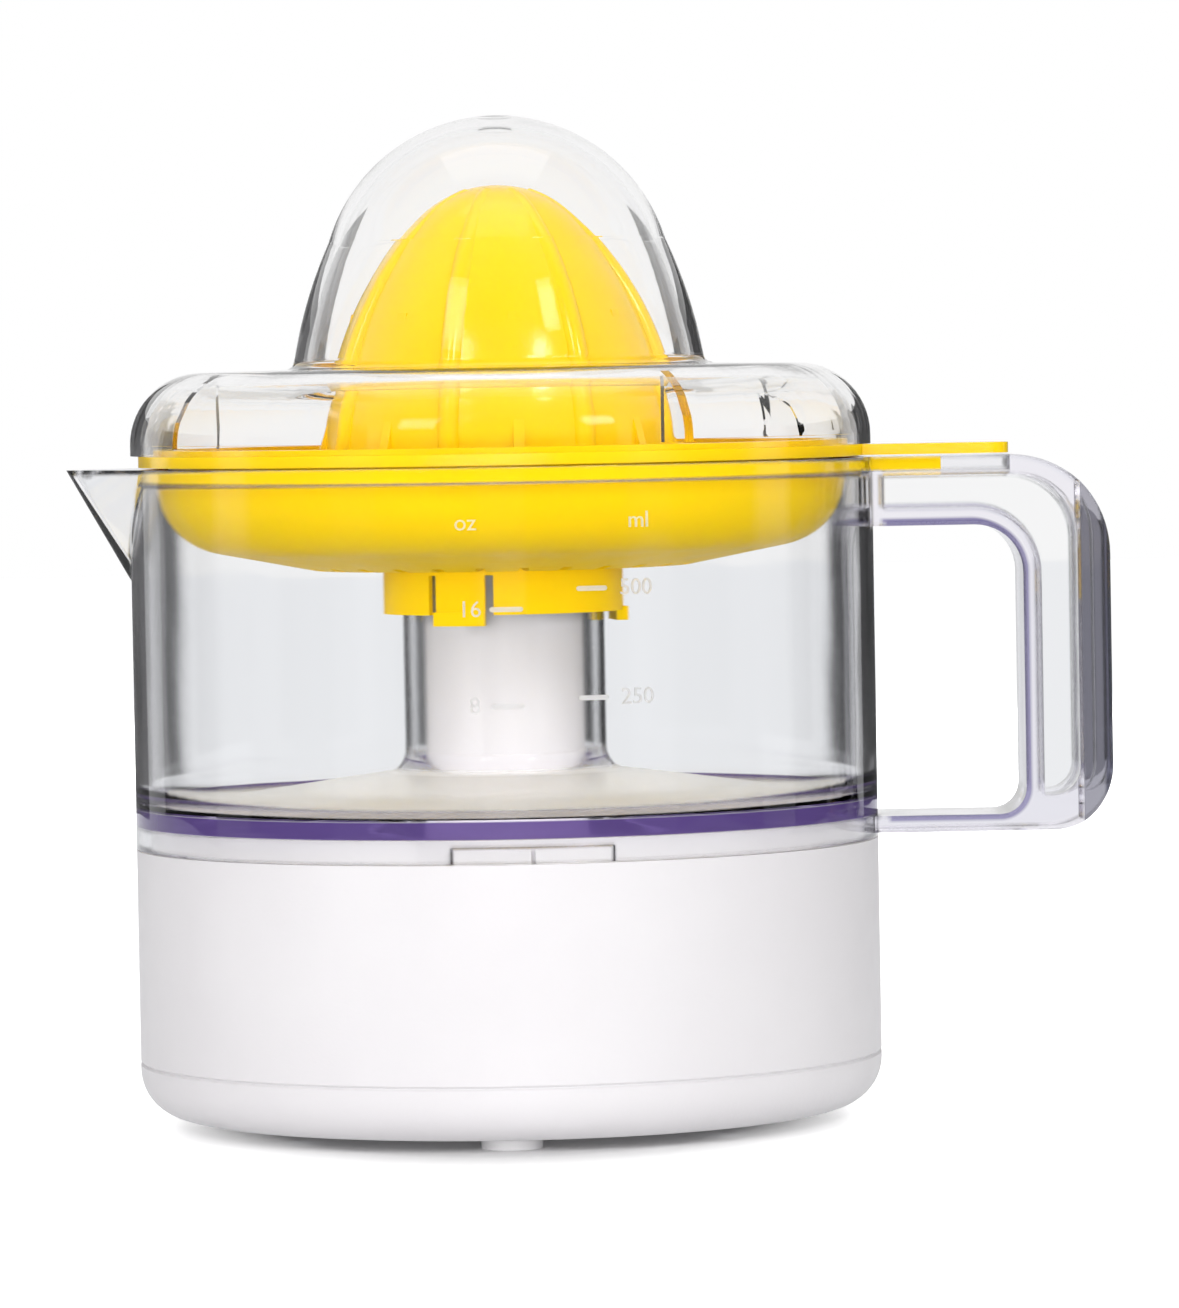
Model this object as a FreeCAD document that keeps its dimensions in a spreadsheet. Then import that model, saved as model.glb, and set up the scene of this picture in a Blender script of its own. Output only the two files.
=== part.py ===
import FreeCAD, Part
import math
import os
import re
import Sketcher

os.makedirs("parts", exist_ok=True)
doc = FreeCAD.newDocument("citrus_press")
vector = FreeCAD.Vector

# Driving sizes in millimetres, counts and degrees
SIZES = {
    "body_radius": 70, "base_wall": 2.4, "seat_gap": 0.1, "run_gap": 0.3,
    "foot_height": 2, "foot_radius": 5.6, "foot_circle": 54, "foot_sink": 1.2,
    "cover_height": 10.3, "cover_round": 9, "lip_height": 3,
    "housing_height": 40.2, "neck_height": 4.6, "deck_thickness": 2.5,
    "key_way": -86, "key_lug": 11.6, "key_split": 0.7, "key_height": 2.5, "key_depth": 1.1,
    "post_circle": 56, "post_radius": 4, "screw_radius": 1.4, "screw_head": 3,
    "plate_post_circle": 46, "inlet_height": 22, "inlet_radius": 5,
    "column_radius": 15, "column_height": 47, "column_wall": 2.4, "flare_height": 12, "flare_width": 1.2,
    "column_rim": 5.5,
    "bush_radius": 7, "bush_length": 9, "bush_flange": 1, "seal_height": 1.8,
    "shaft_radius": 4, "shaft_play": 0.06, "shaft_base": 22, "shaft_reach": 146, "drive_flats": 6.8,
    "jug_wall": 2.6, "skirt_wall": 2.3, "skirt_gap": 0.4, "mouth_wall": 1.6, "ledge_drop": 2.9,
    "jug_height": 66.8, "jug_floor": 3.2, "jug_round": 4.5, "chimney_radius": 19, "chimney_wall": 2, "chimney_height": 51,
    "floor_rise": 5.5, "floor_ring": 5, "chimney_flare": 4.5,
    "spout_reach": 11.8, "spout_half": 22.8, "spout_drop": 21, "spout_tip": 2.2, "spout_wall": 2.2,
    "handle_reach": 44.3, "handle_width": 24, "handle_round": 19, "handle_low_round": 11.8,
    "handle_foot": 0.8, "arm_depth": 13, "strap_depth": 3.1, "grip_depth": 16.8,
    "finger_round": 9, "finger_low_round": 5, "handle_edge": 6, "slot_reach": 25.5, "slot_half": 5.6,
    "handle_rail": 6.6, "handle_lip": 3.4, "handle_skin": 3.6, "handle_web": 2.4,
    "flange_gap": 0.3, "flange_height": 2.6, "bowl_inset": 5.2, "bowl_round": 13.5, "bowl_slope": 11,
    "bowl_depth": 19.6, "bowl_wall": 1.8, "collar_radius": 22.6, "collar_wall": 1.2, "collar_drop": 8.4,
    "finger_drop": 2, "finger_angle": 25, "slit_angle": 4, "finger_flare": 1, "finger_count": 3,
    "strain_count": 30, "strain_width": 1.8, "strain_from": 26, "strain_reach": 13,
    "tab_reach": 12.6, "tab_half": 5, "tab_height": 2.3,
    "nest_gap": 0.35, "basket_wall": 1.6, "ring_height": 2.1, "ring_inset": 1.7, "ring_lip": 1.1,
    "lever_reach": 25.5, "lever_half": 7, "lever_height": 2, "neck_wall": 2, "neck_clear": 2, "neck_plate": 2.4,
    "peg_radius": 1.2, "turn_limit": 5,
    "sleeve_radius": 10, "sleeve_flange": 13, "sleeve_flange_height": 1.7, "sleeve_flats": 13,
    "sleeve_rise": 13.6, "socket_play": 0.2, "press_travel": 3,
    "cone_radius": 34.8, "cone_rise": 50.55, "cone_nose": 21, "cone_tip": 6, "cone_skirt": 13.7, "cone_wall": 2,
    "rib_height": 1.8, "rib_fade": 0.3, "rib_round": 2, "rib_width": 2, "rib_count": 8, "rib_phase": 28.4,
    "short_rib_rise": 26, "boss_radius": 10,
    "lid_wall": 2, "lid_inset": 0.2, "lid_band": 1.9, "lid_round": 13.5, "lid_step": 1.9, "dome_radius": 38.6,
    "dome_height": 62.9, "dome_cap": 33.2, "dome_join": 17, "dome_side": 90, "lid_rib_inset": 10.3,
    "lid_rib_width": 1.8, "lid_rib_count": 4, "nub_radius": 3.2, "nub_height": 0.6,
    "plate_level": 31.6, "plate_thickness": 2.4, "plate_radius": 50.5, "guide_radius": 10, "guide_bore": 8.3,
    "guide_drop": 16.6, "gear_offset": 27, "motor_gap": 4.6, "motor_level": 5.6,
    "rotor_inset": 1.4, "rotor_bore": 5, "motor_shaft": 1.5, "fine_module": 0.8, "coarse_module": 1,
    "pinion_teeth": 14, "wheel_teeth": 40, "drive_teeth": 12, "output_teeth": 42, "tooth_play": 0.3,
    "wheel_level": 35, "wheel_height": 4, "drive_height": 12, "output_level": 44, "output_height": 6,
    "axle_radius": 2, "cup_radius": 8, "cup_height": 7, "spring_radius": 5, "spring_wire": 0.9, "spring_turns": 5,
    "switch_reach": 14, "button_radius": 2,
}

# Heights and radii worked out from the driving sizes
LEVELS = {
    "cover_level": "foot_height",
    "cover_inside": "cover_level + base_wall",
    "part_level": "cover_level + cover_height",
    "inner_round": "cover_round - base_wall",
    "shoulder_level": "part_level + housing_height",
    "deck_level": "shoulder_level + neck_height",
    "deck_under": "deck_level - deck_thickness",
    "column_level": "deck_level + column_height",
    "column_bore": "column_radius - column_wall",
    "column_foot": "column_radius + flare_width",
    "column_seat": "deck_under - seat_gap",
    "neck_radius": "body_radius - skirt_wall - skirt_gap",
    "floor_level": "deck_level + seat_gap",
    "juice_level": "floor_level + jug_floor",
    "rim_level": "floor_level + jug_height",
    "ledge_level": "rim_level - ledge_drop",
    "skirt_level": "shoulder_level + 2*seat_gap",
    "chimney_level": "floor_level + chimney_height",
    "chimney_bore": "chimney_radius - chimney_wall",
    "jug_bore": "body_radius - jug_wall",
    "mouth_bore": "body_radius - mouth_wall",
    "handle_end": "body_radius + handle_reach",
    "handle_level": "shoulder_level + handle_foot + 2*seat_gap",
    "grip_inside": "handle_end - grip_depth",
    "bowl_level": "rim_level - bowl_depth",
    "flange_level": "ledge_level + seat_gap",
    "bowl_radius": "body_radius - bowl_inset",
    "collar_bore": "collar_radius - collar_wall",
    "collar_level": "bowl_level - collar_drop",
    "basket_level": "bowl_level + bowl_wall + nest_gap",
    "basket_inside": "basket_level + basket_wall",
    "ring_level": "rim_level + flange_gap",
    "ring_top": "ring_level + ring_height",
    "neck_inside": "chimney_level + neck_clear",
    "neck_top": "neck_inside + neck_plate",
    "neck_bore": "collar_bore - basket_wall + run_gap",
    "flange_top": "neck_top + seat_gap + sleeve_flange_height",
    "sleeve_top": "flange_top + sleeve_rise",
    "socket_base": "flange_top + press_travel + 0.6",
    "socket_top": "sleeve_top + press_travel + 0.5",
    "cone_base": "basket_inside + press_travel + 1.2",
    "cone_start": "cone_base + cone_skirt",
    "cone_top": "cone_start + cone_rise",
    "flute_radius": "cone_radius - rib_height",
    "flute_top": "cone_top - rib_fade",
    "lid_level": "ring_top + seat_gap",
    "lid_radius": "body_radius - lid_inset",
    "lid_shoulder": "lid_level + lid_band + lid_round",
    "dome_top": "lid_level + dome_height",
    "cap_centre": "dome_top - dome_cap",
    "plate_top": "plate_level + plate_thickness",
    "guide_level": "plate_level - guide_drop",
    "motor_radius": "(body_radius - base_wall - motor_gap - guide_radius - 1)/2",
    "motor_offset": "body_radius - base_wall - motor_gap - motor_radius",
    "rotor_radius": "motor_radius/2 - rotor_inset",
    "mesh_distance": "fine_module*(pinion_teeth + wheel_teeth)/2",
    "gear_angle": "acos((motor_offset^2 + gear_offset^2 - mesh_distance^2)/(2*motor_offset*gear_offset))",
    "gear_across": "gear_offset*sin(gear_angle)",
    "gear_along": "-gear_offset*cos(gear_angle)",
    "motor_top": "plate_level - seat_gap",
    "cup_level": "shaft_base - 4",
    "button_top": "cup_level - seat_gap",
    "bush_low": "plate_level - 1.8",
    "bush_high": "plate_top + 3",
}

# Bell curves of the cone: the skin, the rib centres and the hollow, each a side arc that runs into a round nose
BELLS = {
    "skin": ("flute_radius", "flute_top", "cone_nose"),
    "crest": ("(cone_radius - rib_round)", "cone_top - rib_round", "(cone_nose - rib_round)"),
    "hollow": ("(flute_radius - cone_wall)", "flute_top - cone_wall", "(cone_nose - cone_wall)"),
}
for bell, (reach, top, nose) in BELLS.items():
    LEVELS[bell + "_centre"] = f"{top} - {nose}"
    rise = f"({bell}_centre - cone_start)"
    LEVELS[bell + "_side"] = f"({reach}^2 + {rise}^2 - {nose}^2)/(2*({reach} - {nose}))"
    LEVELS[bell + "_across"] = f"{nose}*({bell}_side - {reach})/({bell}_side - {nose})"
    LEVELS[bell + "_level"] = f"{bell}_centre + {nose}*{rise}/({bell}_side - {nose})"


def fill(label, cells, formula):
    """A sheet with one named cell per row."""
    sheet = doc.addObject("Spreadsheet::Sheet", label)
    for row, (name, content) in enumerate(cells.items(), 1):
        sheet.set(f"A{row}", name)
        sheet.set(f"B{row}", ("=" + bound(content)) if formula else str(content))
        sheet.setAlias(f"B{row}", name)
    doc.recompute()
    return sheet


def bound(text):
    """The expression with each size name led back to its sheet."""
    def home(match):
        name = match.group(0)
        if name in SIZES:
            return "Sizes." + name
        return ("Levels." + name) if name in LEVELS else name
    return re.sub(r"[a-z_]{4,}", home, text)


sizes = fill("Sizes", SIZES, False)
levels = fill("Levels", LEVELS, True)


def value(text):
    """The number an expression stands for now."""
    result = sizes.evalExpression(bound(str(text)))
    return float(getattr(result, "Value", result))


def plane(body, role):
    return next(item for item in body.Origin.OriginFeatures if item.Role == role)


def new_body(name):
    body = doc.addObject("PartDesign::Body", name)
    body.Label = name
    return body


def place(body, across, along):
    """Stand a body on its own axis away from the drive axis."""
    body.setExpression("Placement.Base.x", bound(across))
    body.setExpression("Placement.Base.y", bound(along))


def new_sketch(body, role, lift):
    sketch = body.newObject("Sketcher::SketchObject", body.Name + "_sketch")
    sketch.AttachmentSupport = (plane(body, role), [""])
    sketch.MapMode = "FlatFace"
    if lift:
        sketch.setExpression("AttachmentOffset.Base.z", bound(lift))
    return sketch


def pin(rules, forms, piece, end, across, along):
    """Hold one point at its distances from the origin."""
    for kind, text, axis in (("DistanceX", across, -2), ("DistanceY", along, -1)):
        if text == "0":
            rules.append(Sketcher.Constraint("PointOnObject", piece, end, axis))
        else:
            forms.append((len(rules), text))
            rules.append(Sketcher.Constraint(kind, -1, 1, piece, end, value(text)))


def outline(body, role, points, lift=None, closed=True):
    """An outline of lines and arcs; an arc point adds its radius and its turn."""
    sketch = new_sketch(body, role, lift)
    spots = [vector(value(p[0]), value(p[1]), 0) for p in points]
    pieces, ends, rules, forms = [], [], [], []
    legs = range(0 if closed else 1, len(points))
    for i in legs:
        start, stop, point = spots[i - 1], spots[i], points[i]
        if len(point) == 2:
            pieces.append(Part.LineSegment(start, stop))
            ends.append((1, 2))
            continue
        radius, turn = value(point[2]), point[3]
        chord = stop - start
        reach = math.sqrt(max(radius ** 2 - chord.Length ** 2 / 4, 0))
        side = vector(-chord.y, chord.x, 0).normalize() * reach * turn
        centre = (start + stop) * 0.5 + side
        first, last = (start, stop) if turn > 0 else (stop, start)
        angles = [math.atan2(p.y - centre.y, p.x - centre.x) for p in (first, last)]
        circle = Part.Circle(centre, vector(0, 0, 1), radius)
        pieces.append(Part.ArcOfCircle(circle, angles[0], angles[1] + (2 * math.pi if angles[1] < angles[0] else 0)))
        ends.append((1, 2) if turn > 0 else (2, 1))
    sketch.addGeometry(pieces, False)
    for leg, i in enumerate(legs):
        point, after = points[i], (leg + 1) % len(legs)
        if closed or after:
            rules.append(Sketcher.Constraint("Coincident", leg, ends[leg][1], after, ends[after][0]))
        pin(rules, forms, leg, ends[leg][1], point[0], point[1])
        if len(point) == 4:
            forms.append((len(rules), point[2]))
            rules.append(Sketcher.Constraint("Radius", leg, value(point[2])))
    if not closed:
        pin(rules, forms, 0, ends[0][0], points[0][0], points[0][1])
    sketch.addConstraint(rules)
    for number, text in forms:
        sketch.setExpression(f"Constraints[{number}]", bound(text))
    return sketch


def rings(body, circles, lift=None, role="XY_Plane"):
    """Circles given by centre and radius."""
    sketch = new_sketch(body, role, lift)
    rules, forms = [], []
    for i, (across, along, radius) in enumerate(circles):
        centre = vector(value(across), value(along), 0)
        sketch.addGeometry(Part.Circle(centre, vector(0, 0, 1), value(radius)), False)
        pin(rules, forms, i, 3, across, along)
        forms.append((len(rules), radius))
        rules.append(Sketcher.Constraint("Radius", i, value(radius)))
    sketch.addConstraint(rules)
    for number, text in forms:
        sketch.setExpression(f"Constraints[{number}]", bound(text))
    return sketch


def box_points(left, right, near, far):
    return [(left, near), (right, near), (right, far), (left, far)]


def spin(body, points, cut=False):
    """Turn an outline in the upright plane about the vertical axis."""
    sketch = outline(body, "XZ_Plane", points)
    item = body.newObject("PartDesign::Groove" if cut else "PartDesign::Revolution", body.Name + "_turned")
    item.Profile = sketch
    item.ReferenceAxis = (sketch, ["V_Axis"])
    item.Angle = 360
    body.Tip = item
    return item


def raise_up(body, sketch, length, cut=False, both=False, up=True):
    """Extrude a sketch, or cut it away."""
    item = body.newObject("PartDesign::Pocket" if cut else "PartDesign::Pad", body.Name + "_extruded")
    item.Profile = sketch
    item.setExpression("Length", bound(length))
    item.Reversed = cut == up
    if both:
        item.SideType = "Symmetric"
    body.Tip = item
    return item


def around(body, items, count):
    """Repeat features evenly about the vertical axis."""
    doc.recompute()
    item = body.newObject("PartDesign::PolarPattern", body.Name + "_repeat")
    item.Originals = items
    item.Axis = (plane(body, "Z_Axis"), [""])
    item.Angle = 360
    body.Tip = item
    if isinstance(count, str):
        item.setExpression("Occurrences", bound(count))
    else:
        item.Occurrences = count
    return item


def hexagon(flats, turn=0):
    """Corner points of a hexagon given across its flats."""
    corner = f"({flats})/2/cos(30deg)"
    return [(f"{corner}*cos({turn + 60*k}deg)", f"{corner}*sin({turn + 60*k}deg)") for k in range(6)]


def sector(inner, outer, middle, width):
    """Corner points of a wedge of a ring."""
    low, high = f"({middle} - ({width})/2)*1deg", f"({middle} + ({width})/2)*1deg"
    corners = ((inner, low), (outer, low), (outer, high), (inner, high))
    return [(f"({r})*cos({a})", f"({r})*sin({a})") for r, a in corners]


# Housing of the base with its neck, deck and key lugs
housing = new_body("base_housing")
spin(housing, [
    ("body_radius - 0.4", "part_level"), ("body_radius", "part_level + 0.4"), ("body_radius", "shoulder_level"),
    ("neck_radius", "shoulder_level"), ("neck_radius", "deck_level"),
    ("column_foot + run_gap", "deck_level"), ("column_foot + run_gap", "deck_under"),
    ("neck_radius - base_wall", "deck_under"), ("neck_radius - base_wall", "shoulder_level - base_wall"),
    ("body_radius - base_wall", "shoulder_level - base_wall"), ("body_radius - base_wall", "part_level"),
])
post = raise_up(housing, rings(housing, [("post_circle*cos(45deg)", "post_circle*sin(45deg)", "post_radius")],
                               "part_level + seat_gap"), "deck_under - part_level + 0.5")
bore = raise_up(housing, rings(housing, [("post_circle*cos(45deg)", "post_circle*sin(45deg)", "screw_radius + 0.1")],
                               "part_level"), "12", cut=True)
around(housing, [post, bore], 4)
post = raise_up(housing, rings(housing, [("0", "plate_post_circle", "post_radius")], "plate_top"),
                "deck_under - plate_top + 0.5")
bore = raise_up(housing, rings(housing, [("0", "plate_post_circle", "screw_radius + 0.1")], "plate_top"),
                "12", cut=True)
around(housing, [post, bore], 3)
raise_up(housing, rings(housing, [("gear_across", "gear_along", "axle_radius + 2")],
                        "wheel_level + wheel_height + drive_height + 0.6"),
         "deck_under - wheel_level - wheel_height - drive_height")
raise_up(housing, rings(housing, [("gear_across", "gear_along", "axle_radius + 0.05")],
                        "wheel_level + wheel_height + drive_height"),
         "deck_under - wheel_level - wheel_height - drive_height", cut=True)
for side in (1, -1):
    raise_up(housing, outline(housing, "XY_Plane", sector(
        "neck_radius - 1", "neck_radius + key_depth", f"(key_way + {side}*(key_lug + key_split)/2)", "key_lug"),
        "shoulder_level"), "key_height")
raise_up(housing, rings(housing, [("0", "inlet_height", "inlet_radius")], None, "XZ_Plane"),
         "body_radius + 5", cut=True, up=False)

# Drive column standing through the deck, its foot welded under it
column = new_body("drive_column")
spin(column, [
    ("column_bore", "column_seat - column_wall"), ("column_foot + column_rim", "column_seat - column_wall"),
    ("column_foot + column_rim", "column_seat"), ("column_foot", "column_seat"), ("column_foot", "deck_level"),
    ("column_radius + 0.2", "deck_level + flare_height"), ("column_radius", "deck_level + flare_height + 0.4"),
    ("column_radius", "column_level"), ("bush_radius + 0.05", "column_level"),
    ("bush_radius + 0.05", "column_level - bush_length"), ("shaft_radius + 1", "column_level - bush_length"),
    ("shaft_radius + 1", "column_level - bush_length - column_wall"),
    ("column_bore", "column_level - bush_length - column_wall"),
])

# Grommet in the mains inlet at the back
grommet = new_body("inlet_grommet")
raise_up(grommet, rings(grommet, [("0", "inlet_height", "inlet_radius + 1.6")], "base_wall + 1.6 - body_radius",
                        "XZ_Plane"), "1.4")
raise_up(grommet, rings(grommet, [("0", "inlet_height", "inlet_radius - 0.1")], "0.2 - body_radius", "XZ_Plane"),
         "base_wall + 2")
raise_up(grommet, rings(grommet, [("0", "inlet_height", "inlet_radius - 1.6")], "-body_radius - 1", "XZ_Plane"),
         "base_wall + 8", cut=True)

# Bottom cover with its lip, screw bosses, foot recesses and spring seat
cover = new_body("bottom_cover")
spin(cover, [
    ("0", "cover_level"), ("body_radius - cover_round", "cover_level"),
    ("body_radius", "cover_level + cover_round", "cover_round", 1), ("body_radius", "part_level - 0.4"),
    ("body_radius - 0.4", "part_level"), ("body_radius - base_wall - 0.15", "part_level"),
    ("body_radius - base_wall - 0.15", "part_level + lip_height"),
    ("body_radius - 2*base_wall", "part_level + lip_height"),
    ("body_radius - 2*base_wall", "cover_level + cover_round - sqrt(inner_round^2 - (cover_round - 2*base_wall)^2)"),
    ("body_radius - cover_round", "cover_inside", "inner_round", -1),
    ("spring_radius + 3", "cover_inside"), ("spring_radius + 3", "cover_inside + 2"), ("0", "cover_inside + 2"),
])
boss = raise_up(cover, rings(cover, [("post_circle*cos(45deg)", "post_circle*sin(45deg)", "post_radius + 0.5")],
                             "cover_level + 1"), "cover_height - 1")
hole = raise_up(cover, rings(cover, [("post_circle*cos(45deg)", "post_circle*sin(45deg)", "screw_radius + 0.3")],
                             "cover_level"), "cover_height + 1", cut=True)
sink = raise_up(cover, rings(cover, [("post_circle*cos(45deg)", "post_circle*sin(45deg)", "screw_head + 0.3")],
                             "cover_level"), "3", cut=True)
around(cover, [boss, hole, sink], 4)
recess = raise_up(cover, rings(cover, [("0", "foot_circle", "foot_radius + 0.2")], "cover_level"), "foot_sink", cut=True)
around(cover, [recess], 4)

feet = new_body("rubber_feet")
foot = raise_up(feet, rings(feet, [("0", "foot_circle", "foot_radius")]), "foot_height + foot_sink")
around(feet, [foot], 4)


def screws(name, across, along, count, base, shank):
    """Pan-head screws standing head down."""
    body = new_body(name)
    head = raise_up(body, rings(body, [(across, along, "screw_head")], f"{base} - 2"), "2")
    stem = raise_up(body, rings(body, [(across, along, "screw_radius")], base), shank)
    around(body, [head, stem], count)


screws("cover_screws", "post_circle*cos(45deg)", "post_circle*sin(45deg)", 4, "cover_level + 3", "cover_height + 6")
screws("gear_plate_screws", "0", "plate_post_circle", 3, "plate_level", "plate_thickness + 9")

# Gear plate with the plunger guide
plate = new_body("gear_plate")
spin(plate, [
    ("bush_radius + 0.05", "bush_low"), ("bush_radius + 0.05", "bush_high"), ("bush_radius + 2.4", "bush_high"),
    ("bush_radius + 2.4", "plate_top"), ("plate_radius", "plate_top"), ("plate_radius", "plate_level"),
    ("guide_radius", "plate_level"), ("guide_radius", "guide_level"), ("guide_bore", "guide_level"),
    ("guide_bore", "bush_low"),
])
raise_up(plate, rings(plate, [
    ("0", "-motor_offset", "fine_module*(pinion_teeth + 2)/2 + 1.6"),
    ("gear_across", "gear_along", "axle_radius + 0.02"),
    ("motor_radius + 3", "-motor_offset", "screw_radius + 0.1"),
    ("-motor_radius - 3", "-motor_offset", "screw_radius + 0.1"),
], "plate_level - 1"), "plate_thickness + 2", cut=True)
hole = raise_up(plate, rings(plate, [("0", "plate_post_circle", "screw_radius + 0.2")], "plate_level - 1"),
                "plate_thickness + 2", cut=True)
around(plate, [hole], 3)
raise_up(plate, outline(plate, "XY_Plane", box_points("-3.7", "3.7", "guide_bore - 3", "guide_radius + 2"),
                        "guide_level - 1"), "13", cut=True)

# Motor
can = new_body("motor_can")
spin(can, [
    ("motor_shaft + shaft_play", "motor_level"), ("motor_radius", "motor_level"),
    ("motor_radius", "motor_top - 1.5"), ("motor_radius - 1", "motor_top - 1.5"),
    ("motor_radius - 1", "motor_level + 1"), ("motor_shaft + 2", "motor_level + 1"),
    ("motor_shaft + 2", "motor_level + 3.2"), ("motor_shaft + shaft_play", "motor_level + 3.2"),
])
lid_plate = new_body("motor_cover")
raise_up(lid_plate, rings(lid_plate, [("0", "0", "motor_radius")], "motor_top - 1.5"), "1.5")
raise_up(lid_plate, outline(lid_plate, "XY_Plane", box_points("-motor_radius - 7", "motor_radius + 7", "-4.5", "4.5"),
                            "motor_top - 1.5"), "1.5")
raise_up(lid_plate, rings(lid_plate, [
    ("0", "0", "motor_shaft + shaft_play"), ("motor_radius + 3", "0", "screw_radius + 0.2"),
    ("-motor_radius - 3", "0", "screw_radius + 0.2"),
], "motor_top - 3"), "4", cut=True)
bobbin = new_body("coil_bobbin")
spin(bobbin, [
    ("rotor_radius + 2.4", "motor_level + 2.6"), ("motor_radius - 1.5", "motor_level + 2.6"),
    ("motor_radius - 1.5", "motor_level + 3.8"), ("rotor_radius + 3.8", "motor_level + 3.8"),
    ("rotor_radius + 3.8", "motor_top - 5"), ("motor_radius - 1.5", "motor_top - 5"),
    ("motor_radius - 1.5", "motor_top - 3.8"), ("rotor_radius + 2.4", "motor_top - 3.8"),
])
coil = new_body("stator_coil")
spin(coil, [
    ("rotor_radius + 3.9", "motor_level + 3.9"), ("motor_radius - 2.4", "motor_level + 3.9"),
    ("motor_radius - 2.4", "motor_top - 5.1"), ("rotor_radius + 3.9", "motor_top - 5.1"),
])


def claws(name, disc_level, tooth_level, turn):
    """Pole plate with six claws beside the rotor."""
    body = new_body(name)
    raise_up(body, rings(body, [("0", "0", "motor_radius - 1.2"), ("0", "0", "rotor_radius + 0.4")], disc_level), "1")
    tooth = raise_up(body, outline(body, "XY_Plane", sector("rotor_radius + 0.5", "rotor_radius + 1.8", turn, "20"),
                                   tooth_level), "motor_top - motor_level - 8")
    around(body, [tooth], 6)
    return body


low_claws = claws("lower_pole_plate", "motor_level + 1.2", "motor_level + 1.4", "0")
high_claws = claws("upper_pole_plate", "motor_top - 3", "motor_level + 5.4", "30")
magnet = new_body("rotor_magnet")
spin(magnet, box_points("rotor_bore", "rotor_radius", "motor_level + 4.4", "motor_top - 5"))
hub = new_body("rotor_hub")
spin(hub, box_points("motor_shaft", "rotor_bore", "motor_level + 4.2", "motor_top - 4.8"))
rotor_shaft = new_body("rotor_shaft")
raise_up(rotor_shaft, rings(rotor_shaft, [("0", "0", "motor_shaft")], "motor_level + 0.4"),
         "wheel_level + wheel_height + 2 - motor_level")
for body in (can, lid_plate, bobbin, coil, low_claws, high_claws, magnet, hub, rotor_shaft):
    place(body, "0", "-motor_offset")
motor_screws = new_body("motor_screws")
ears = ("motor_radius + 3", "-motor_radius - 3")
raise_up(motor_screws, rings(motor_screws, [(x, "-motor_offset", "screw_head") for x in ears], "motor_top - 3.5"), "2")
raise_up(motor_screws, rings(motor_screws, [(x, "-motor_offset", "screw_radius") for x in ears], "motor_top - 1.5"),
         "plate_thickness + 2.4")

# Gears
axle = new_body("gear_axle")
raise_up(axle, rings(axle, [("gear_across", "gear_along", "axle_radius")], "plate_level"), "deck_under - plate_level - 0.2")


def gear_solid(module, teeth, level, height, bore, turn):
    """Involute spur gear about the origin with one tooth pointing at the turn angle."""
    pitch = module * teeth / 2
    base = pitch * math.cos(math.radians(20))
    tip, root = pitch + module, pitch - 1.25 * module
    flare = math.tan(math.radians(20)) - math.radians(20)
    half = (math.pi * module / 2 - value("tooth_play")) / 2 / pitch + flare
    flank = []
    for step in range(6):
        radius = max(base, root) + (tip - max(base, root)) * step / 5
        roll = math.acos(min(base / radius, 1))
        flank.append((radius, half - math.tan(roll) + roll))
    if root < base:
        flank.insert(0, (root, flank[0][1]))
    corners = []
    for tooth in range(teeth):
        middle = math.radians(turn) + 2 * math.pi * tooth / teeth
        path = [(r, middle - a) for r, a in flank] + [(r, middle + a) for r, a in reversed(flank)]
        corners += [vector(r * math.cos(a), r * math.sin(a), level) for r, a in path]
    face = Part.Face(Part.makePolygon(corners + corners[:1]))
    solid = face.extrude(vector(0, 0, height))
    return solid.cut(Part.makeCylinder(bore, 400, vector(0, 0, -100)))


def gear_part(name, solid, across="0", along="0"):
    item = doc.addObject("Part::Feature", name)
    item.Label = name
    item.Shape = solid
    item.Placement = FreeCAD.Placement(vector(value(across), value(along), 0), FreeCAD.Rotation())


def ring_solid(outer, inner, level, height):
    ring = Part.makeCylinder(outer, height, vector(0, 0, level))
    return ring.cut(Part.makeCylinder(inner, height, vector(0, 0, level)))


fine, coarse = value("fine_module"), value("coarse_module")
tooth_counts = {key: int(value(key)) for key in ("pinion_teeth", "wheel_teeth", "drive_teeth", "output_teeth")}
gear_spot = vector(value("gear_across"), value("gear_along"), 0)
to_motor = vector(0, -value("motor_offset"), 0) - gear_spot
motor_way = math.degrees(math.atan2(to_motor.y, to_motor.x))
shaft_way = math.degrees(math.atan2(-gear_spot.y, -gear_spot.x))
wheel_level, wheel_height = value("wheel_level"), value("wheel_height")
axle_bore = value("axle_radius") + 0.1
wheel = gear_solid(fine, tooth_counts["wheel_teeth"], wheel_level, wheel_height, axle_bore, motor_way)
drive = gear_solid(coarse, tooth_counts["drive_teeth"], wheel_level + wheel_height - 0.1, value("drive_height") + 0.1,
                   axle_bore, shaft_way)
foot_ring = ring_solid(axle_bore + 2.4, axle_bore, value("plate_top") + 0.2, wheel_level - value("plate_top"))
gear_part("compound_gear", wheel.fuse(drive).fuse(foot_ring).removeSplitter(), "gear_across", "gear_along")
gear_part("motor_pinion", gear_solid(
    fine, tooth_counts["pinion_teeth"], wheel_level - 0.3, wheel_height + 0.8, value("motor_shaft + 0.02"),
    motor_way + 180 + 180 / tooth_counts["pinion_teeth"]), "0", "-motor_offset")
output = gear_solid(coarse, tooth_counts["output_teeth"], value("output_level"), value("output_height"),
                    value("shaft_radius"), shaft_way + 180 + 180 / tooth_counts["output_teeth"])
collar = ring_solid(9, value("shaft_radius"), value("output_level - 2"), value("output_height + 3"))
gear_part("output_gear", output.fuse(collar).removeSplitter())

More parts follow.
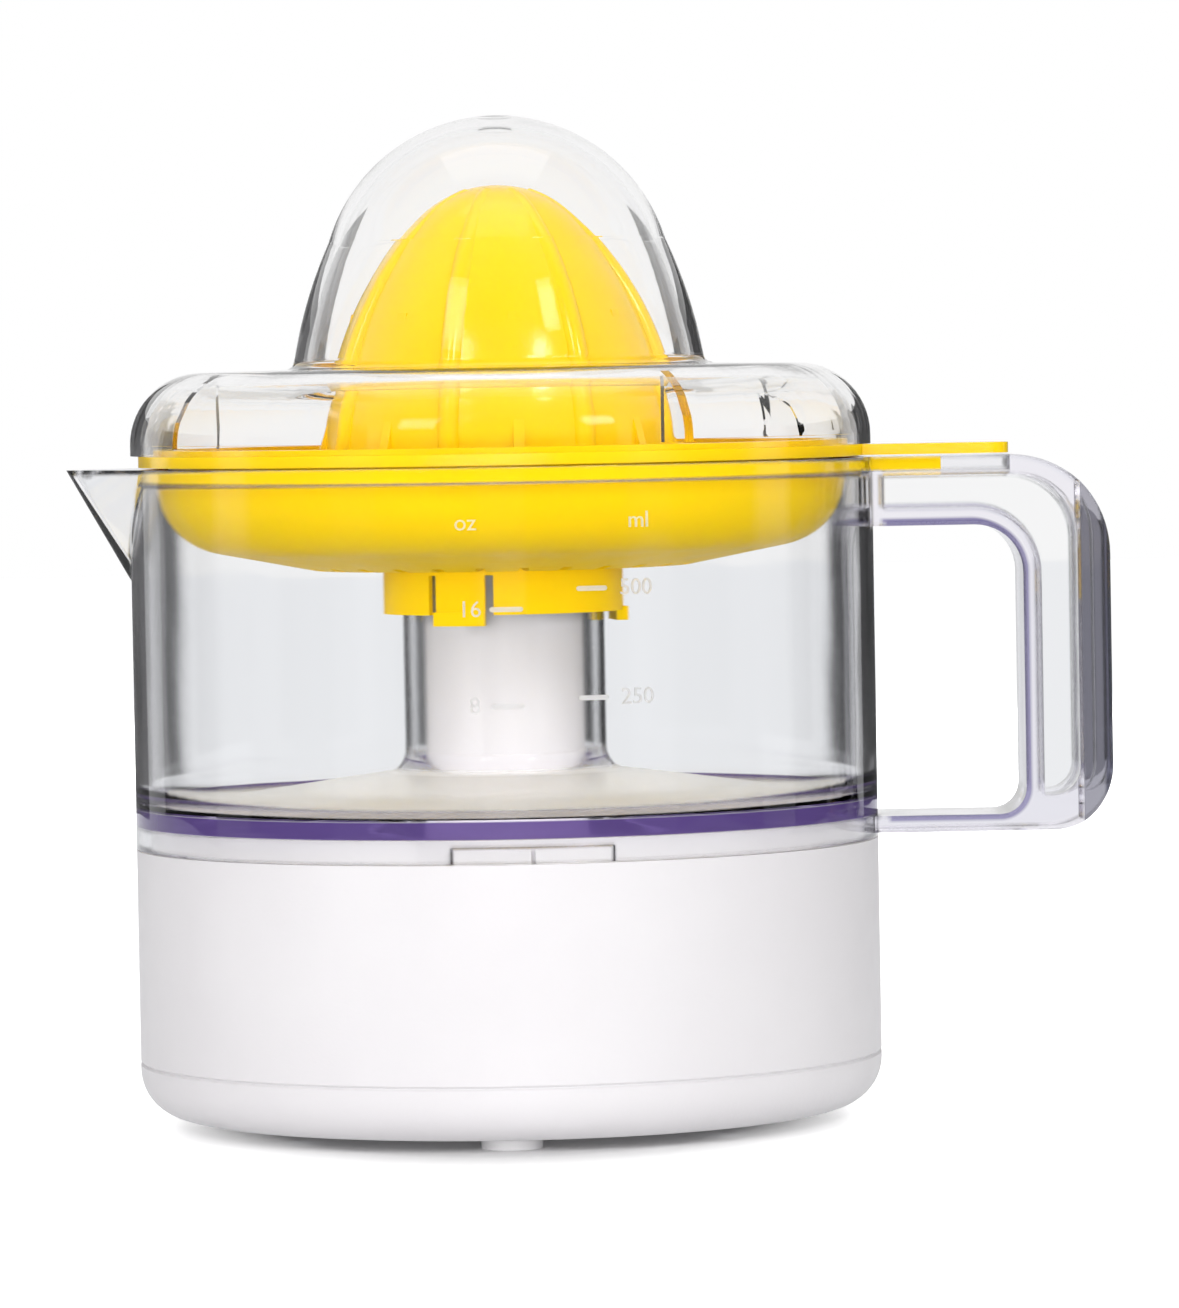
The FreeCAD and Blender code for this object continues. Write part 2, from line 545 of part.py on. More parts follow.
# Drive shaft, its bearings and the press mechanism
shaft = new_body("drive_shaft")
spin(shaft, [
    ("0", "shaft_base + seat_gap"), ("shaft_radius", "shaft_base + seat_gap"), ("shaft_radius", "bush_low - 1.4"),
    ("shaft_radius - 0.7", "bush_low - 1.4"), ("shaft_radius - 0.7", "bush_low - 0.4"),
    ("shaft_radius", "bush_low - 0.4"), ("shaft_radius", "column_level + bush_flange + seal_height"),
    ("0", "column_level + bush_flange + seal_height"),
])
raise_up(shaft, outline(shaft, "XY_Plane", hexagon("drive_flats"), "column_level"), "shaft_reach - column_level")
clip = new_body("shaft_clip")
raise_up(clip, rings(clip, [("0", "0", "shaft_radius + 2.2"), ("0", "0", "shaft_radius - 0.65")], "bush_low - 1.3"), "0.8")
raise_up(clip, outline(clip, "XY_Plane", box_points("-2.2", "2.2", "1", "shaft_radius + 4"), "bush_low - 2"), "3", cut=True)
low_bush = new_body("lower_bush")
spin(low_bush, [
    ("shaft_radius + shaft_play", "bush_low"), ("bush_radius", "bush_low"), ("bush_radius", "bush_high"),
    ("bush_radius + 1.6", "bush_high"), ("bush_radius + 1.6", "bush_high + bush_flange"),
    ("shaft_radius + shaft_play", "bush_high + bush_flange"),
])
high_bush = new_body("upper_bush")
spin(high_bush, [
    ("shaft_radius + shaft_play", "column_level - bush_length"), ("bush_radius", "column_level - bush_length"),
    ("bush_radius", "column_level"), ("bush_radius + 2", "column_level"),
    ("bush_radius + 2", "column_level + bush_flange"), ("shaft_radius + shaft_play", "column_level + bush_flange"),
])
seal = new_body("shaft_seal")
spin(seal, [
    ("shaft_radius + shaft_play", "column_level + bush_flange + 1"), ("shaft_radius + 1", "column_level + bush_flange"),
    ("bush_radius + 1.6", "column_level + bush_flange"), ("bush_radius + 0.6", "column_level + bush_flange + 1"),
    ("shaft_radius + 1", "column_level + bush_flange + seal_height"),
    ("shaft_radius + shaft_play", "column_level + bush_flange + seal_height"),
])
cup = new_body("press_plunger")
spin(cup, [
    ("0", "cup_level + 1.2"), ("spring_radius + 1", "cup_level + 1.2"), ("spring_radius + 1", "cup_level"),
    ("cup_radius", "cup_level"), ("cup_radius", "cup_level + cup_height"),
    ("shaft_radius + run_gap", "cup_level + cup_height"), ("shaft_radius + run_gap", "shaft_base"), ("0", "shaft_base"),
])
raise_up(cup, outline(cup, "XY_Plane", box_points("-3.2", "3.2", "spring_radius + 1.4", "switch_reach + 3"), "cup_level"),
         "2.4")
button = new_body("switch_button")
raise_up(button, rings(button, [("0", "switch_reach", "button_radius")], "button_top - 8"), "8")
switch = new_body("switch_body")
raise_up(switch, outline(switch, "XY_Plane", box_points("-8", "8", "switch_reach - 3.4", "switch_reach + 5"),
                         "cover_inside"), "button_top - press_travel - 1 - cover_inside")
raise_up(switch, rings(switch, [("0", "switch_reach", "button_radius + run_gap")], "button_top - 8.3 - press_travel"),
         "12", cut=True)
spring = doc.addObject("Part::Feature", "return_spring")
spring.Label = "return_spring"
coil_low, coil_high = value("cover_inside + 2 + spring_wire/2"), value("cup_level + 1.2 - spring_wire/2")
helix = Part.makeHelix((coil_high - coil_low) / value("spring_turns"), coil_high - coil_low, value("spring_radius"))
wire_ring = Part.Wire(Part.makeCircle(value("spring_wire") / 2, vector(value("spring_radius"), 0, 0), vector(0, 1, 0)))
spring.Shape = Part.Wire(helix.Edges).makePipeShell([wire_ring], True, True)
spring.Placement = FreeCAD.Placement(vector(0, 0, coil_low), FreeCAD.Rotation())

# Jug with skirt, chimney, spout and a handle of two rails and a web
jug = new_body("jug")
spin(jug, [
    ("chimney_bore", "floor_level + floor_rise"), ("neck_radius - floor_ring", "floor_level"),
    ("neck_radius + skirt_gap", "floor_level"),
    ("neck_radius + skirt_gap", "skirt_level"), ("body_radius", "skirt_level"), ("body_radius", "rim_level"),
    ("chimney_bore", "rim_level"),
])
handle = [
    ("jug_bore + 0.8", "rim_level"), ("jug_bore + 0.8", "rim_level - arm_depth"),
    ("grip_inside - finger_round", "rim_level - arm_depth"),
    ("grip_inside", "rim_level - arm_depth - finger_round", "finger_round", -1),
    ("grip_inside", "handle_level + strap_depth + finger_low_round"),
    ("grip_inside - finger_low_round", "handle_level + strap_depth", "finger_low_round", -1),
    ("jug_bore + 0.8", "handle_level + strap_depth"), ("jug_bore + 0.8", "handle_level"),
    ("handle_end - handle_low_round", "handle_level"),
    ("handle_end", "handle_level + handle_low_round", "handle_low_round", 1),
    ("handle_end", "rim_level - handle_round"),
    ("handle_end - handle_round", "rim_level", "handle_round", 1),
]
raise_up(jug, outline(jug, "XZ_Plane", handle), "handle_width", both=True)
for side in (1, -1):
    raise_up(jug, outline(jug, "XY_Plane", [
        ("handle_end - handle_edge", f"{side}*handle_width/2"),
        ("handle_end", f"{side}*(handle_width/2 - handle_edge)"),
        ("handle_end + 1", f"{side}*(handle_width/2 - handle_edge)"), ("handle_end + 1", f"{side}*(handle_width/2 + 1)"),
        ("handle_end - handle_edge", f"{side}*(handle_width/2 + 1)"),
    ]), "rim_level + 5", cut=True)
corner = "(handle_round - handle_rail)"
recess = [
    ("body_radius + 1.6", "rim_level - handle_skin"), ("body_radius + 1.6", "rim_level - arm_depth + handle_lip"),
    ("grip_inside - finger_round", "rim_level - arm_depth + handle_lip"),
    ("grip_inside + handle_lip", "rim_level - arm_depth - finger_round", "finger_round + handle_lip", -1),
    ("grip_inside + handle_lip", "handle_level + handle_rail"),
    ("handle_end - handle_low_round", "handle_level + handle_rail"),
    ("handle_end - handle_rail", "handle_level + handle_low_round", "handle_low_round - handle_rail", 1),
    ("handle_end - handle_rail", f"rim_level - handle_skin - {corner}"),
    (f"handle_end - handle_rail - {corner}", "rim_level - handle_skin", corner, 1),
]
raise_up(jug, outline(jug, "XZ_Plane", recess), "handle_width + 2", cut=True, both=True)
raise_up(jug, outline(jug, "XZ_Plane", recess), "handle_web", both=True)


def wedge(body, tip, half, root, tip_half, level, low_tip, low_half, low_root, low_level, cut):
    """Spout wedge between a broad outline at the rim and a small one lower on the wall."""
    upper = outline(body, "XY_Plane", [(root, f"-({half})"), (root, half), (tip, tip_half), (tip, f"-({tip_half})")], level)
    lower = outline(body, "XY_Plane", [
        (low_root, f"-({low_half})"), (low_root, low_half), (low_tip, f"({low_half})/4"), (low_tip, f"-({low_half})/4")], low_level)
    item = body.newObject("PartDesign::SubtractiveLoft" if cut else "PartDesign::AdditiveLoft", body.Name + "_spout")
    item.Profile = upper
    item.Sections = [lower]
    item.Ruled = True
    body.Tip = item


wedge(jug, "-body_radius - spout_reach", "spout_half", "-sqrt(body_radius^2 - spout_half^2)", "spout_tip", "rim_level",
      "-body_radius - 0.1", "1.2", "1 - body_radius", "rim_level - spout_drop", False)
spin(jug, [
    ("chimney_radius + chimney_flare", "juice_level + floor_rise", "chimney_flare", 1),
    ("jug_bore - jug_round", "juice_level"),
    ("jug_bore", "juice_level + jug_round", "jug_round", 1), ("jug_bore", "ledge_level"), ("mouth_bore", "ledge_level"),
    ("mouth_bore", "rim_level + 1"), ("0", "rim_level + 1"), ("0", "chimney_level"),
    ("chimney_radius", "chimney_level"), ("chimney_radius", "juice_level + floor_rise + chimney_flare"),
], cut=True)
wedge(jug, "spout_wall*1.25 - body_radius - spout_reach", "spout_half + 2.5", "8 - body_radius", "spout_tip - 0.8",
      "rim_level", "jug_wall - 0.6 - body_radius", "1.4", "jug_wall + 2 - body_radius",
      "rim_level - spout_drop + 2.4", True)
raise_up(jug, outline(jug, "XY_Plane", box_points("mouth_bore - 4", "body_radius + slot_reach", "-slot_half", "slot_half"),
                      "ledge_level"), "ledge_drop + 1", cut=True)
for side in (1, -1):
    raise_up(jug, outline(jug, "XY_Plane", sector(
        "neck_radius - 2", "neck_radius + key_depth + 0.7", f"(key_way + {side}*(key_lug + key_split)/2)",
        "key_lug + 0.8"), "skirt_level - 1"), "key_height + 1.4", cut=True)


def dish(thickness, drop):
    """Radii and heights along the curved side of the two nested strainer pieces."""
    curve = f"(bowl_round - {thickness})"
    centre, top = "(bowl_radius - bowl_round)", "flange_level"
    side = (f"{centre} + {curve}*sin(bowl_slope*1deg)", f"{top} - {curve}*cos(bowl_slope*1deg)")
    flat = f"{side[0]} - ({side[1]} - ({drop}))/tan(bowl_slope*1deg)"
    return curve, side, flat


# Lower strainer piece: flange, dish, collar with spring fingers, locating tab
bowl = new_body("pulp_bowl")
outer_curve, outer_side, outer_flat = dish("0", "bowl_level")
inner_curve, inner_side, inner_flat = dish("bowl_wall", "bowl_level + bowl_wall")
spin(bowl, [
    ("collar_bore", "collar_level"), ("collar_radius", "collar_level"), ("collar_radius", "bowl_level"),
    (outer_flat, "bowl_level"), outer_side, ("bowl_radius", "flange_level", outer_curve, 1),
    ("mouth_bore - flange_gap", "flange_level"), ("mouth_bore - flange_gap", "flange_level + flange_height"),
    ("bowl_radius - bowl_wall", "flange_level + flange_height"), ("bowl_radius - bowl_wall", "flange_level"),
    (*inner_side, inner_curve, -1), (inner_flat, "bowl_level + bowl_wall"), ("collar_bore", "bowl_level + bowl_wall"),
])
fingers = raise_up(bowl, outline(bowl, "XY_Plane", sector("collar_bore", "collar_radius", "9", "finger_angle"),
                                 "collar_level - finger_drop"), "finger_drop + 1")
flare = raise_up(bowl, outline(bowl, "XY_Plane", sector("collar_bore + 0.3", "collar_radius + finger_flare", "9",
                                                        "finger_angle"), "collar_level - finger_drop"), "2.6")
slits = [raise_up(bowl, outline(bowl, "XY_Plane", sector(
    "collar_bore - 1", "collar_radius + 0.8", f"(9 + {way}*(finger_angle + slit_angle)/2)", "slit_angle"),
    "collar_level - 1"), "collar_drop", cut=True) for way in (1, -1)]
around(bowl, [fingers, flare, *slits], "finger_count")
slot = raise_up(bowl, outline(bowl, "XY_Plane", box_points(
    "strain_from", "strain_from + strain_reach", "-strain_width/2", "strain_width/2"), "bowl_level - 1"),
    "bowl_wall + 2", cut=True)
around(bowl, [slot], "strain_count")
raise_up(bowl, outline(bowl, "XY_Plane", box_points("bowl_radius", "body_radius + tab_reach", "-tab_half", "tab_half"),
                       "flange_level + 0.1"), "tab_height")
raise_up(bowl, rings(bowl, [("0", "bowl_radius + 0.4", "peg_radius")], "flange_level + flange_height - 0.5"),
         "0.5 + flange_gap + ring_height/2")

# Upper strainer piece: turning basket with lever, ring and neck
basket = new_body("pulp_selector")
skin_curve, skin_side, skin_flat = dish("bowl_wall - nest_gap", "basket_level")
lining_curve, lining_side, lining_flat = dish("bowl_wall - nest_gap - basket_wall", "basket_inside")
spin(basket, [
    ("neck_bore", "basket_level"), (skin_flat, "basket_level"), skin_side,
    ("bowl_radius - bowl_wall - nest_gap", "flange_level", skin_curve, 1),
    ("bowl_radius - bowl_wall - nest_gap", "ring_level"), ("body_radius - ring_inset", "ring_level"),
    ("body_radius - ring_inset", "ring_top"), ("bowl_radius + 0.6", "ring_top"),
    ("bowl_radius + 0.6", "ring_top + ring_lip"), ("bowl_radius - bowl_wall - nest_gap - basket_wall", "ring_top + ring_lip"),
    ("bowl_radius - bowl_wall - nest_gap - basket_wall", "flange_level"), (*lining_side, lining_curve, -1),
    (lining_flat, "basket_inside"), ("neck_bore + neck_wall", "basket_inside"), ("neck_bore + neck_wall", "neck_top"),
    ("sleeve_radius + run_gap", "neck_top"), ("sleeve_radius + run_gap", "neck_inside"), ("neck_bore", "neck_inside"),
])
slot = raise_up(basket, outline(basket, "XY_Plane", box_points(
    "strain_from", "strain_from + strain_reach", "-strain_width/2", "strain_width/2"), "basket_level - 1"),
    "basket_wall + 2", cut=True)
around(basket, [slot], "strain_count")
lever = [
    ("bowl_radius", "-lever_half"), ("body_radius + lever_reach - 3", "-lever_half"),
    ("body_radius + lever_reach", "3 - lever_half", "3", 1), ("body_radius + lever_reach", "lever_half - 3"),
    ("body_radius + lever_reach - 3", "lever_half", "3", 1), ("bowl_radius", "lever_half"),
]
raise_up(basket, outline(basket, "XY_Plane", lever, "ring_level"), "lever_height")
stop = "(turn_limit + 0.6 + peg_radius*57.3/bowl_radius)*2"
raise_up(basket, outline(basket, "XY_Plane", sector(
    "bowl_radius - 0.1 - peg_radius", "bowl_radius + 1.2 + peg_radius", "90", stop), "ring_level - 1"),
    "1.3 + ring_height/2", cut=True)

# Sleeve that carries the turn from the shaft to the cone
sleeve = new_body("drive_sleeve")
spin(sleeve, [
    ("0", "neck_inside - 1"), ("sleeve_radius + 0.9", "neck_inside - 1"), ("sleeve_radius + 0.9", "neck_inside - 0.2"),
    ("sleeve_radius", "neck_inside - 0.2"), ("sleeve_radius", "neck_top + seat_gap"),
    ("sleeve_flange", "neck_top + seat_gap"), ("sleeve_flange", "flange_top"), ("0", "flange_top"),
])
raise_up(sleeve, outline(sleeve, "XY_Plane", hexagon("sleeve_flats"), "flange_top"), "sleeve_rise")
raise_up(sleeve, outline(sleeve, "XY_Plane", hexagon("drive_flats + 2*socket_play"), "neck_inside - 2"), "40", cut=True)

# Ribbed cone
cone = new_body("reamer_cone")
spin(cone, [
    ("0", "cone_base"), ("flute_radius", "cone_base"), ("flute_radius", "cone_start"),
    ("skin_across", "skin_level", "skin_side", 1), ("0", "flute_top", "cone_nose", 1),
])
crest = "(cone_radius - rib_round)"
path = outline(cone, "XZ_Plane", [
    (crest, "cone_base"), (crest, "cone_start"), ("crest_across", "crest_level", "crest_side", 1),
    ("cone_tip", "crest_centre + sqrt((cone_nose - rib_round)^2 - cone_tip^2)", "cone_nose - rib_round", 1),
], closed=False)
path.AttachmentOffset = FreeCAD.Placement(vector(), FreeCAD.Rotation(vector(0, 1, 0), value("rib_phase")))
rib = cone.newObject("PartDesign::AdditivePipe", "reamer_cone_rib")
rib.Profile = rings(cone, [(f"{crest}*cos(rib_phase*1deg)", f"{crest}*sin(rib_phase*1deg)", "rib_round")], "cone_base")
rib.Spine = (path, [])
cone.Tip = rib
around(cone, [rib], "rib_count")
short_rib = outline(cone, "XZ_Plane", [
    ("flute_radius - 1", "cone_base"), ("cone_radius - 0.4", "cone_base"), ("cone_radius - 0.4", "cone_start"),
    ("flute_radius - 5.4", "cone_start + short_rib_rise"), ("flute_radius - 7", "cone_start + short_rib_rise"),
    ("flute_radius - 1.4", "cone_start"),
])
short_rib.AttachmentOffset = FreeCAD.Placement(
    vector(), FreeCAD.Rotation(vector(0, 1, 0), value("rib_phase + 180/rib_count")))
item = raise_up(cone, short_rib, "rib_width", both=True)
around(cone, [item], "rib_count")
spin(cone, [
    ("boss_radius", "cone_base - 1"), ("flute_radius - cone_wall", "cone_base - 1"),
    ("flute_radius - cone_wall", "cone_start"), ("hollow_across", "hollow_level", "hollow_side", 1),
    ("boss_radius", "hollow_centre + sqrt((cone_nose - cone_wall)^2 - boss_radius^2)", "cone_nose - cone_wall", 1),
], cut=True)
raise_up(cone, rings(cone, [("0", "0", "boss_radius + 1")], "cone_base - 2"), "socket_base - cone_base + 2", cut=True)
raise_up(cone, outline(cone, "XY_Plane", hexagon("sleeve_flats + 2*socket_play"), "socket_base - 1"),
         "socket_top - socket_base + 1", cut=True)
raise_up(cone, rings(cone, [("0", "0", "shaft_radius + 0.4")], "socket_base"), "shaft_reach + seat_gap - socket_base",
         cut=True)

# Clear lid with its dome and inner ribs
lid = new_body("lid")
join = "dome_join*1deg"


def shell(inset, rim):
    """Lid outline from the rim to the dome top, set in by the inset."""
    cap = f"(dome_cap - {inset})"
    return [
        (f"lid_radius - {inset}", rim), (f"lid_radius - {inset}", "lid_level + lid_band"),
        ("lid_radius - lid_round", f"lid_shoulder - {inset}", f"lid_round - {inset}", 1),
        (f"dome_radius + lid_step - {inset}", f"lid_shoulder + 0.3 - {inset}"),
        (f"dome_radius - {inset}", f"lid_shoulder + 0.3 + lid_step - {inset}", "lid_step", -1),
        (f"{cap}*cos({join})", f"cap_centre + {cap}*sin({join})", "dome_side", 1),
        ("0", f"dome_top - {inset}", f"dome_cap - {inset}", 1),
    ]


spin(lid, shell("0", "lid_level") + [("0", "lid_level")])
spin(lid, shell("lid_wall", "lid_level - 1") + [("0", "lid_level - 1")], cut=True)
raise_up(lid, rings(lid, [("0", "0", "nub_radius")], "dome_top - lid_wall - nub_height"), "nub_height + lid_wall/2")
inner_edge = "body_radius - lid_rib_inset"
rib = raise_up(lid, outline(lid, "XZ_Plane", [
    (inner_edge, "ring_top + ring_lip + 0.3"), ("lid_radius - lid_wall + 0.4", "ring_top + ring_lip + 0.3"),
    ("lid_radius - lid_wall + 0.4", "lid_level + lid_band + 2"),
    ("lid_radius - lid_round*0.3 - lid_wall/2", "lid_level + lid_band + lid_round*0.6"),
    (inner_edge, "lid_shoulder - lid_wall"),
]), "lid_rib_width", both=True)
around(lid, [rib], "lid_rib_count")
lid.Placement = FreeCAD.Placement(vector(), FreeCAD.Rotation(vector(0, 0, 1), 30))

# Check every object, then write one file per node
doc.recompute()
NODES = [item for item in doc.Objects if item.isDerivedFrom("Part::Feature") and (
    item.TypeId in ("PartDesign::Body", "Part::Feature"))]
faults = [item.Name for item in doc.Objects if "Invalid" in item.State or "Error" in item.State]
faults += [node.Label for node in NODES if node.Shape.isNull() or not node.Shape.isValid()]
if faults:
    raise SystemExit("faulty: " + ", ".join(faults))
for node in NODES:
    node.Shape.exportStep(f"parts/{node.Label}.step")
    print(node.Label, len(node.Shape.Solids), round(node.Shape.Volume), node.Shape.BoundBox)
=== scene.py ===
"""Looks of the citrus press: finishes, a copy of the return spring, the jug's scale, camera and light."""
import math

import bmesh
import bpy
from mathutils import Matrix, Vector


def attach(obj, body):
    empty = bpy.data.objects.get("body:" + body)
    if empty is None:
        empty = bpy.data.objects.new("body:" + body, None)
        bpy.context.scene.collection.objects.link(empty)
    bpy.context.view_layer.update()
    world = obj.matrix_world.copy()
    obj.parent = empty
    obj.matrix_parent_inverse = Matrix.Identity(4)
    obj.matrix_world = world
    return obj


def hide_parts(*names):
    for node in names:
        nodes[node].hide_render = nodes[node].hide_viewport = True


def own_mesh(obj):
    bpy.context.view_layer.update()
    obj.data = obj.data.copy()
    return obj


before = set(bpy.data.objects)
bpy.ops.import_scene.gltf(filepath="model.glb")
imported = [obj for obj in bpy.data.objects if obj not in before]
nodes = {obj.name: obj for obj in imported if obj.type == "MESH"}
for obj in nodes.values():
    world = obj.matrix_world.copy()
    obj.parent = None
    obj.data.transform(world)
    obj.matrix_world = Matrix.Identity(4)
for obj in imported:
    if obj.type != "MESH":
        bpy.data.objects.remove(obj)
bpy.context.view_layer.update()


def placed(name, data):
    """An object for the data, in the scene."""
    item = bpy.data.objects.new(name, data)
    bpy.context.scene.collection.objects.link(item)
    return item


# Shader nodes

def new_material(name):
    material = bpy.data.materials.new(name)
    material.use_nodes = True
    return material, material.node_tree, material.node_tree.nodes["Principled BSDF"]


def feed(tree, socket, content):
    """Link the socket where the content is a socket too, and set it otherwise."""
    if isinstance(content, bpy.types.NodeSocket):
        tree.links.new(content, socket)
    else:
        socket.default_value = content


def add(tree, kind, **inputs):
    """A shader node with its inputs fed."""
    item = tree.nodes.new("ShaderNode" + kind)
    for key, content in inputs.items():
        feed(tree, item.inputs[key.replace("_", " ")], content)
    return item


def math_of(tree, kind, *terms):
    item = tree.nodes.new("ShaderNodeMath")
    item.operation = kind
    for socket, term in zip(item.inputs, terms):
        feed(tree, socket, term)
    return item.outputs[0]


def product(tree, first, *others):
    for other in others:
        first = math_of(tree, "MULTIPLY", first, other)
    return first


def squared(tree, source):
    return product(tree, source, source)


def span(tree, source, low, high, start=0.3, end=0.7):
    """The source's range from start to end spread from low to high."""
    ramp = add(tree, "MapRange", Value=source, From_Min=start, From_Max=end, To_Min=low, To_Max=high)
    return ramp.outputs["Result"]


def window(tree, source, start, full, fade, end):
    """One from full to fade, nothing before start and after end."""
    return product(tree, span(tree, source, 0, 1, start, full), span(tree, source, 1, 0, fade, end))


def mixed(tree, factor, first, second):
    mix = tree.nodes.new("ShaderNodeMix")
    mix.data_type = "RGBA"
    tree.links.new(factor, mix.inputs[0])
    for place, colour in ((6, first), (7, second)):
        feed(tree, mix.inputs[place], colour if isinstance(colour, bpy.types.NodeSocket) else (*colour, 1))
    return mix.outputs[2]


def own_place(tree):
    """The point in the part's own space, in metres."""
    return tree.nodes.new("ShaderNodeTexCoord").outputs["Object"]


def axes(tree, vector):
    return add(tree, "SeparateXYZ", Vector=vector).outputs


def noise(tree, scale, detail=2.0, stretch=None):
    """A noise in the part's own space, in cells per metre."""
    place = own_place(tree)
    if stretch:
        place = add(tree, "Mapping", Vector=place, Scale=stretch).outputs["Vector"]
    return add(tree, "TexNoise", Vector=place, Scale=scale, Detail=detail).outputs["Fac"]


def skin(tree, shader, height, depth, rounding=0.0):
    """Relief in the shader's normal, its depth in metres, over edges that shade as if rounded."""
    bump = add(tree, "Bump", Height=height, Distance=depth)
    if rounding:
        edge = add(tree, "Bevel", Radius=rounding)
        edge.samples = 4
        tree.links.new(edge.outputs["Normal"], bump.inputs["Normal"])
    tree.links.new(bump.outputs["Normal"], shader.inputs["Normal"])


# Kinds of finish

def moulded(name, dark, light, rough, grain=1400, depth=0.00002, glow=0.0, gloss=0.5):
    """Moulded plastic: a faint flow in its colour, uneven gloss, a fine skin."""
    material, tree, shader = new_material(name)
    flow = span(tree, noise(tree, 22, 3), 0, 1)
    tree.links.new(mixed(tree, flow, dark, light), shader.inputs["Base Color"])
    tree.links.new(span(tree, noise(tree, 160, 4), *rough), shader.inputs["Roughness"])
    skin(tree, shader, noise(tree, grain, 2), depth)
    shader.inputs["IOR"].default_value = 1.53
    shader.inputs["Specular IOR Level"].default_value = gloss
    if glow:
        shader.inputs["Subsurface Weight"].default_value = glow
        shader.inputs["Subsurface Radius"].default_value = (1.0, 0.55, 0.12)
        shader.inputs["Subsurface Scale"].default_value = 0.0012
    return material


def metal(name, dark, light, rough, stretch, grain=500, depth=0.00001):
    """Worked metal: drawn or turned grain along one way, uneven gloss."""
    material, tree, shader = new_material(name)
    lines = noise(tree, grain, 3, stretch)
    tree.links.new(mixed(tree, span(tree, lines, 0, 1), dark, light), shader.inputs["Base Color"])
    tree.links.new(span(tree, noise(tree, 240, 4, stretch), *rough), shader.inputs["Roughness"])
    skin(tree, shader, lines, depth)
    shader.inputs["Metallic"].default_value = 1.0
    return material


def wound(name):
    """Enamelled wire in turns one above the other."""
    material, tree, shader = new_material(name)
    turns = add(tree, "TexWave", Vector=own_place(tree), Scale=620.0, Distortion=0.6, Detail=1.0)
    turns.bands_direction = "Z"
    # The colour goes dark and light in bands with the turns: painted shade between them.
    tree.links.new(mixed(tree, turns.outputs["Fac"], (0.30, 0.09, 0.03), (0.80, 0.36, 0.17)),
                   shader.inputs["Base Color"])
    tree.links.new(span(tree, noise(tree, 300, 2), 0.25, 0.4), shader.inputs["Roughness"])
    skin(tree, shader, turns.outputs["Fac"], 0.0002)
    shader.inputs["Metallic"].default_value = 1.0
    shader.inputs["Coat Weight"].default_value = 0.5
    return material


CLEAR_IOR = 1.56
CLEAR_SHINE = 0.18


def clear(name, flat, edge, toner, density, rounding=0.0, paint=None):
    """Clear styrene with a toner, whose colour long ways through it take.
    Its surface has the flat colour seen square on, and the edge colour seen at a slant: painted shade,
    darkening its rims.
    paint puts a piece's own tints and painted shade on it: it gets the tint and the roughness and gives them
    back changed."""
    material, tree, shader = new_material(name)
    facing = add(tree, "LayerWeight", Blend=0.35).outputs["Facing"]
    # Painted shade: the colour turns to the edge colour where the surface is seen at a slant.
    tint = mixed(tree, span(tree, facing, 0, 1, 0.45, 1.0), flat, edge)
    rough = span(tree, noise(tree, 90, 3), 0.004, 0.03)
    shader.inputs["Transmission Weight"].default_value = 1.0
    if paint:
        tint, rough = paint(tree, shader, tint, rough)
    tree.links.new(tint, shader.inputs["Base Color"])
    tree.links.new(rough, shader.inputs["Roughness"])
    skin(tree, shader, noise(tree, 38, 1), 0.00012, rounding)
    shader.inputs["IOR"].default_value = CLEAR_IOR
    shader.inputs["Specular Tint"].default_value = (CLEAR_SHINE, CLEAR_SHINE, CLEAR_SHINE, 1)
    inside = add(tree, "VolumeAbsorption", Color=(*toner, 1), Density=density)
    tree.links.new(inside.outputs["Volume"], tree.nodes["Material Output"].inputs["Volume"])
    return material


# Painted shade on the jug, and its satin bottom, in its own space: heights, radii and distances along X, with
# a soft step at each end

RIM_LEVELS = (0.0569, 0.0572, 0.0602, 0.0605)
RIM_RADII = (0.0693, 0.0697, 0.0702, 0.0706)
# Painted shade: the dark violet band along the bottom's outer edge.
RIM_SHADE_COLOUR = (0.105, 0.065, 0.225)
RIM_DULL = 0.72
BOTTOM_LEVELS = (0.0602, 0.0604, 0.068, 0.0695)
BOTTOM_RADII = (0.064, 0.067)
BOTTOM_COLOUR = (0.92, 0.95, 1.0)
BOTTOM_DULL, BOTTOM_ROUGH = 0.7, 0.22
BEVEL_FROM = (0.1, 0.101)
# Painted shade: the handle's slanted bevels darker, darkest towards their far end.
BEVEL_SHADE_COLOUR = (0.20, 0.20, 0.23)
BEVEL_END_FROM = (0.1123, 0.113)
BEVEL_END_SHADE_COLOUR = (0.04, 0.04, 0.07)
GAP_FROM = (0.0712, 0.0722)
GAP_WIDE, GAP_TALL = (0.06375, 0.03375), (0.0838, 0.0272)  # middle and half, along X and in height
GAP_CORNERS = (0.005, 0.009)  # radii of the lower corners and of the upper ones
GAP_CORNER_CHANGE = (0.08, 0.09)
GAP_LINE = (0.0008, 0.0014)
# Painted shade: a violet line round the finger gap, on the handle's front and back faces.
GAP_SHADE_COLOUR = (0.20, 0.18, 0.36)


def gap_shade_line(tree, place):
    """One along the edge of the handle's finger gap, a rectangle with round corners, where a line of shade is
    painted.
    """
    corner = span(tree, place[2], *GAP_CORNERS, *GAP_CORNER_CHANGE)
    squares = []
    for way, (middle, half) in ((place[0], GAP_WIDE), (place[2], GAP_TALL)):
        off = math_of(tree, "ABSOLUTE", math_of(tree, "SUBTRACT", way, middle))
        off = math_of(tree, "ADD", math_of(tree, "SUBTRACT", off, half), corner)
        off = math_of(tree, "MAXIMUM", off, 0.0)
        squares.append(squared(tree, off))
    away = math_of(tree, "SUBTRACT", math_of(tree, "SQRT", math_of(tree, "ADD", *squares)), corner)
    return product(tree, span(tree, away, 1, 0, *GAP_LINE), span(tree, place[0], 0, 1, *GAP_FROM))


